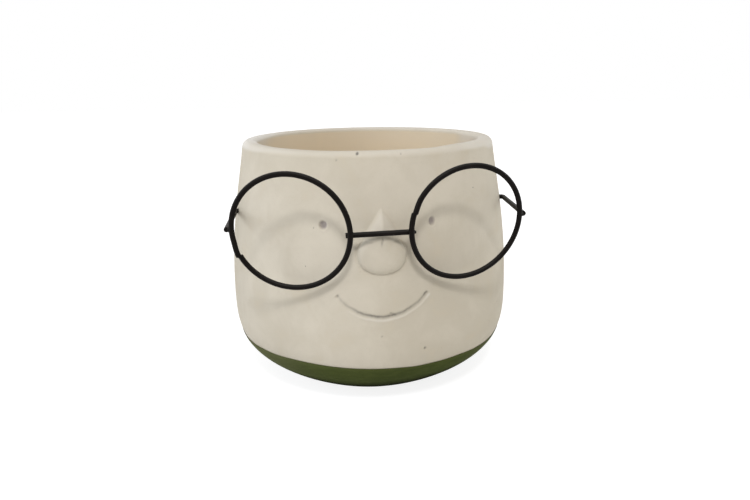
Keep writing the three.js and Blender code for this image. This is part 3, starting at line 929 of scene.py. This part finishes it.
def templePath(side, plan):
    angle = math.radians(plan["templeAngle"][side])
    weldTurn = angle if side > 0 else math.pi - angle
    lean = math.radians(plan["templeLean"])
    reach = plan["ringRadius"][side] + wirePitch * math.cos(lean)
    local = Vector((reach * math.cos(weldTurn), reach * math.sin(weldTurn), -wirePitch * math.sin(lean)))
    weld = ringPlace(side, plan) @ local
    corner = Vector((side * (hingeX + plan["templeStandOff"]), 0, 0))
    run = (weld - corner).normalized()
    pinEnd = Vector((side * (hingeX - plan["pinDepth"]), 0, 0))
    bendStart = corner - Vector((side * plan["templeBend"], 0, 0))
    bendEnd = corner + run * plan["templeBend"]
    tip = weld + run * plan["templeTip"]
    path = [pinEnd.lerp(bendStart, t) for t in np.linspace(0, 1, 8)[:-1]]
    for t in np.linspace(0, 1, 15)[:-1]:
        path.append(bendStart.lerp(corner, t).lerp(corner.lerp(bendEnd, t), t))
    path += [bendEnd.lerp(tip, t) for t in np.linspace(0, 1, 34)]
    return path, weld


def barPath(plan):
    half = plan["barHalfSpan"] + plan["barOverhang"]  # and the right end was cut aslant
    spots = np.linspace(-half, half + plan["barNub"], 40)
    droop = plan["barNubDip"] * soft(spots, half - plan["barNubFrom"], half + plan["barNub"])
    return [Vector((x - plan["frontShift"], barY, -plan["barDrop"] - down)) for x, down in zip(spots, droop)]


# Welds: small beads where two wires meet
weldBead = {"Bead": 0.95 * mm, "Roughness": 0.16 * mm, "Seed": 5}


def weldTree(material):
    group, tree, given = newTree("weld_beads", {"Bead": "Float", "Roughness": "Float", "Seed": "Int"})
    bead = tree.node("GeometryNodeMeshIcoSphere", {"Radius": given["Bead"], "Subdivisions": 4}, "Mesh")
    limits = {"Min_001": 0.9, "Max_001": 1.12, "Seed": given["Seed"]}
    size = tree.node("FunctionNodeRandomValue", limits, "Value_001", data_type="FLOAT")
    spots = {"Points": given["Geometry"], "Instance": bead, "Scale": size}
    placed = tree.node("GeometryNodeInstanceOnPoints", spots, "Instances")
    whole = tree.node("GeometryNodeRealizeInstances", {"Geometry": placed})
    place = tree.node("GeometryNodeInputPosition")
    lump = (noise(tree, place, 700, 2, 0.5) - 0.5) * given["Roughness"]
    closeTree(tree, pushOut(tree, whole, lump), material)
    return group


def makeSpectacles(plan):
    beads = []
    makeWire("bar_wire", barPath(plan), "bridge_bar", plan["barPoint"])
    for side, name in ((-1, "left"), (1, "right")):
        ring = ringPath(side, plan)
        makeWire(name + "_ring_wire", ring, name + "_ring")
        path, joint = templePath(side, plan)
        makeWire(name + "_temple_wire", path, name + "_temple")
        along = np.array([list(p) for p in ring])
        for spot in (list(joint), [side * plan["barHalfSpan"] - plan["frontShift"], barY, -plan["barDrop"]]):
            nearest = along[np.argmin(np.linalg.norm(along - np.array(spot), axis=1))]
            beads.append((np.array(spot) + nearest) / 2)
        beads.append((along[0] + along[-1]) / 2)
    piece = newPiece("weld_beads", inSpectacles(beads))
    runTree(piece, weldTree(blackCoating), weldBead)
    settle(piece, plan["beadSharp"])
    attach(piece, "spectacles")
    print("spectacles made,", len(beads), "welds")


makeSpectacles(glasses)


# Stage: floor, light and camera
white = (1, 1, 1, 1)
stage = dict(
    floorSize=6.0, floorDrop=0.1, floorNear=(0.84, 0.84, 0.84, 1), floorTone=(0.42, 0.42, 0.42, 1),
    whiteRange=(0.12, 0.45), bounce=(0.72, 0.72, 0.72, 1), skyColour=(1, 0.945, 0.875, 1), skyLight=0.42,
    board=(0.97, 0.98, 0.98, 1), boardSide=(0.75, -0.66, 0), boardRange=(0.0, 0.10),  # ahead to the right
)
lamps = dict(  # power, size, azimuth, height, distance, colour
    key=(2.62, 0.14, -3, 47, 0.9, (0.985, 0.985, 1)),
    halo=(0.30, 0.55, -6, 48, 0.9, (1, 0.98, 0.95)),
    left=(5.1, 0.9, -77, 16, 1.0, (0.83, 0.90, 1)),
    right=(2.6, 0.7, 105, 10, 1.0, (0.88, 0.95, 1)),
    top=(1.15, 1.2, -60, 80, 1.0, (0.88, 0.94, 1)),
)
lampTarget = Vector((0, 0, 60 * mm))


def makeFloor(plan):
    half, under = plan["floorSize"] / 2, -plan["floorDrop"] * mm
    corners = [(x * half, y * half, under) for x, y in ((-1, -1), (1, -1), (1, 1), (-1, 1))]
    floor = newPiece("floor", corners, [], [(0, 1, 2, 3)])
    material, tree = newMaterial("pale_floor")
    place = tree.node("ShaderNodeTexCoord", {}, "Object")
    away = tree.node("ShaderNodeVectorMath", {"Vector": place}, "Value", operation="LENGTH")
    glowColour = tint(tree, between(tree, away, *plan["whiteRange"]), plan["floorNear"], white)
    lit = tree.node("ShaderNodeBsdfDiffuse", {"Color": plan["floorTone"]})
    glow = tree.node("ShaderNodeEmission", {"Color": glowColour, "Strength": 1.0})
    shown = tree.node("ShaderNodeAddShader", {"Shader": lit, "Shader_001": glow})
    pair = {"Vector": place, "Vector_001": plan["boardSide"]}
    aside = tree.node("ShaderNodeVectorMath", pair, "Value", operation="DOT_PRODUCT")
    board = tint(tree, between(tree, aside, *plan["boardRange"]), plan["bounce"], plan["board"])
    plain = tree.node("ShaderNodeBsdfDiffuse", {"Color": board})
    both = {"Fac": seenRay(tree), "Shader": plain, "Shader_001": shown}
    paintOn(tree, tree.node("ShaderNodeMixShader", both))
    floor.data.materials.append(material)


def seenRay(tree):
    kinds = ("Is Camera Ray", "Is Glossy Ray", "Is Transmission Ray")
    camera, glossy, through = [tree.node("ShaderNodeLightPath", {}, kind) for kind in kinds]
    return camera + glossy + through > 0.5


def makeSky(plan):
    world = bpy.data.worlds.new("soft_sky")
    world.use_nodes = True
    world.node_tree.nodes.clear()
    tree = Term(world.node_tree)
    sky = tree.node("ShaderNodeBackground", {"Color": plan["skyColour"], "Strength": plan["skyLight"]})
    plain = tree.node("ShaderNodeBackground", {"Color": white, "Strength": 1.0})
    both = tree.node("ShaderNodeMixShader", {"Fac": seenRay(tree), "Shader": sky, "Shader_001": plain})
    tree.node("ShaderNodeOutputWorld", {"Surface": both})
    bpy.context.scene.world = world


def addLamp(name, power, size, azimuth, height, distance, colour):
    lamp = bpy.data.lights.new(name, "AREA")
    lamp.shape = "DISK"
    lamp.size = size
    lamp.energy = power
    lamp.color = colour
    holder = bpy.data.objects.new(name, lamp)
    a, e = math.radians(azimuth), math.radians(height)
    away = Vector((math.sin(a) * math.cos(e), -math.cos(a) * math.cos(e), math.sin(e)))
    holder.location = lampTarget + away * distance
    holder.rotation_mode = "QUATERNION"
    holder.rotation_quaternion = (-away).to_track_quat("-Z", "Y")
    bpy.context.scene.collection.objects.link(holder)


# Camera, fitted to the photograph: pixels, millimetres and degrees
view = dict(
    focal=603.02, width=750, sensor=36.0, distance=305.0, eye=143.34,
    pitch=15.859, pan=0.567, roll=-0.825, yaw=4.5,
)


def makeCamera(plan):
    pitch, pan, roll = [math.radians(plan[k]) for k in ("pitch", "pan", "roll")]
    ahead = Vector((math.sin(pan) * math.cos(pitch), math.cos(pan) * math.cos(pitch), -math.sin(pitch)))
    right = Vector((math.cos(pan), -math.sin(pan), 0))
    up = right.cross(ahead)
    across = right * math.cos(roll) + up * math.sin(roll)
    above = up * math.cos(roll) - right * math.sin(roll)
    turn = Matrix.Rotation(-math.radians(plan["yaw"]), 3, "Z")
    columns = [turn @ across, turn @ above, turn @ -ahead]
    place = turn @ Vector((0, -plan["distance"], plan["eye"])) * mm
    camera = bpy.data.cameras.new("photo_camera")
    camera.sensor_width = plan["sensor"]
    camera.lens = plan["focal"] * plan["sensor"] / plan["width"]
    camera.clip_start = 0.01
    holder = bpy.data.objects.new("photo_camera", camera)
    holder.matrix_world = Matrix.Translation(place) @ Matrix(columns).transposed().to_4x4()
    bpy.context.scene.collection.objects.link(holder)
    bpy.context.scene.camera = holder


makeFloor(stage)
makeSky(stage)
for name, values in lamps.items():
    addLamp(name, *values)
makeCamera(view)
bpy.context.scene.view_settings.view_transform = "Standard"
print("stage set")
